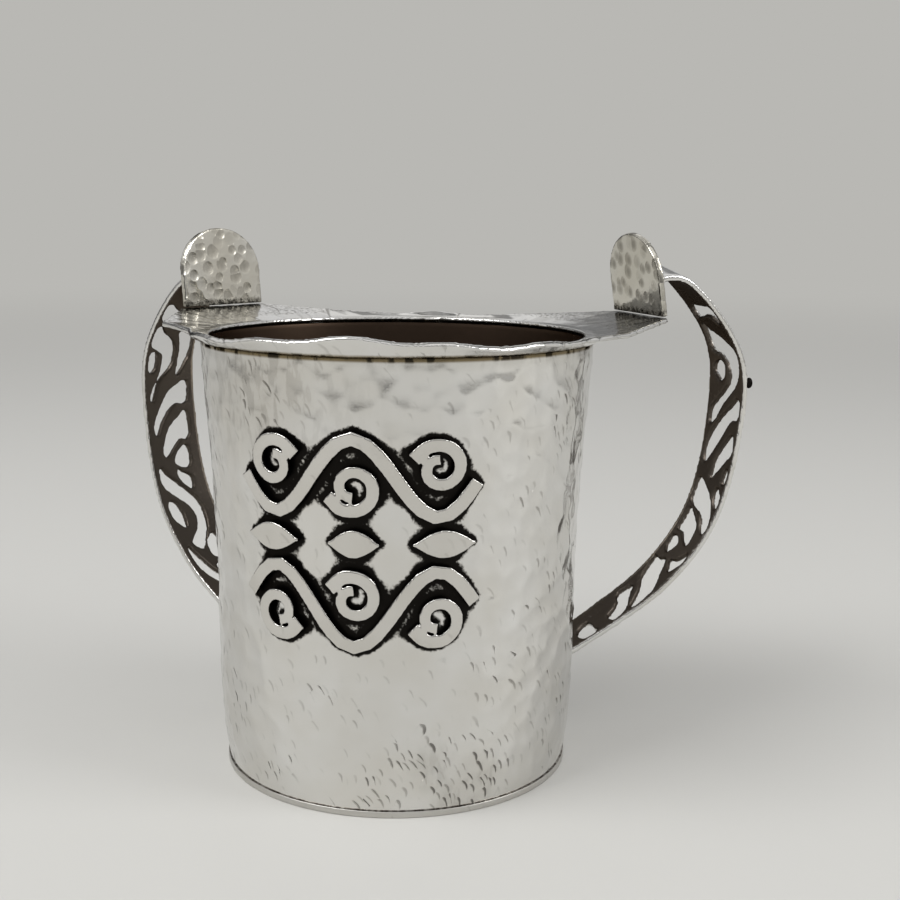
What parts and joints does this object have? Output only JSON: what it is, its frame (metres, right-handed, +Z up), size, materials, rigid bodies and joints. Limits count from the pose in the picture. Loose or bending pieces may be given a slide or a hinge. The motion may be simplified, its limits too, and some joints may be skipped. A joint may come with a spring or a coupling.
{
  "type": "washing cup",
  "caption": "Hand-washing cup of hammered silver sheet, with a flared rim, upright thumb tabs, pierced strap handles and a vine applied to its front.",
  "frame": {"origin": "on the table under the axis of the cup's round wall", "axes": "+Z up along the cup's axis, -Y out through the front with the vine, +X towards the right handle"},
  "size_m": [0.1291, 0.08, 0.0993],
  "materials": {
    "hammered_silver": "hammered silver, polished by hand, with a dark patina in the hollows and inside the cup",
    "raised_silver": "flat polished silver strips with black patina along their edges",
    "dark_silver": "tarnished silver"
  },
  "bodies": {
    "root": {"base_disc": "hammered_silver", "cup_wall": "hammered_silver", "flared_rim": "hammered_silver", "handle_bead": "dark_silver", "left_handle": "hammered_silver", "left_thumb_tab": "hammered_silver", "right_handle": "hammered_silver", "right_thumb_tab": "hammered_silver", "vine_left_leaf": "raised_silver", "vine_lower_left_scroll": "raised_silver", "vine_lower_middle_scroll": "raised_silver", "vine_lower_right_scroll": "raised_silver", "vine_lower_stem": "raised_silver", "vine_middle_leaf": "raised_silver", "vine_right_leaf": "raised_silver", "vine_upper_left_scroll": "raised_silver", "vine_upper_middle_scroll": "raised_silver", "vine_upper_right_scroll": "raised_silver", "vine_upper_stem": "raised_silver"}
  },
  "joints": []
}
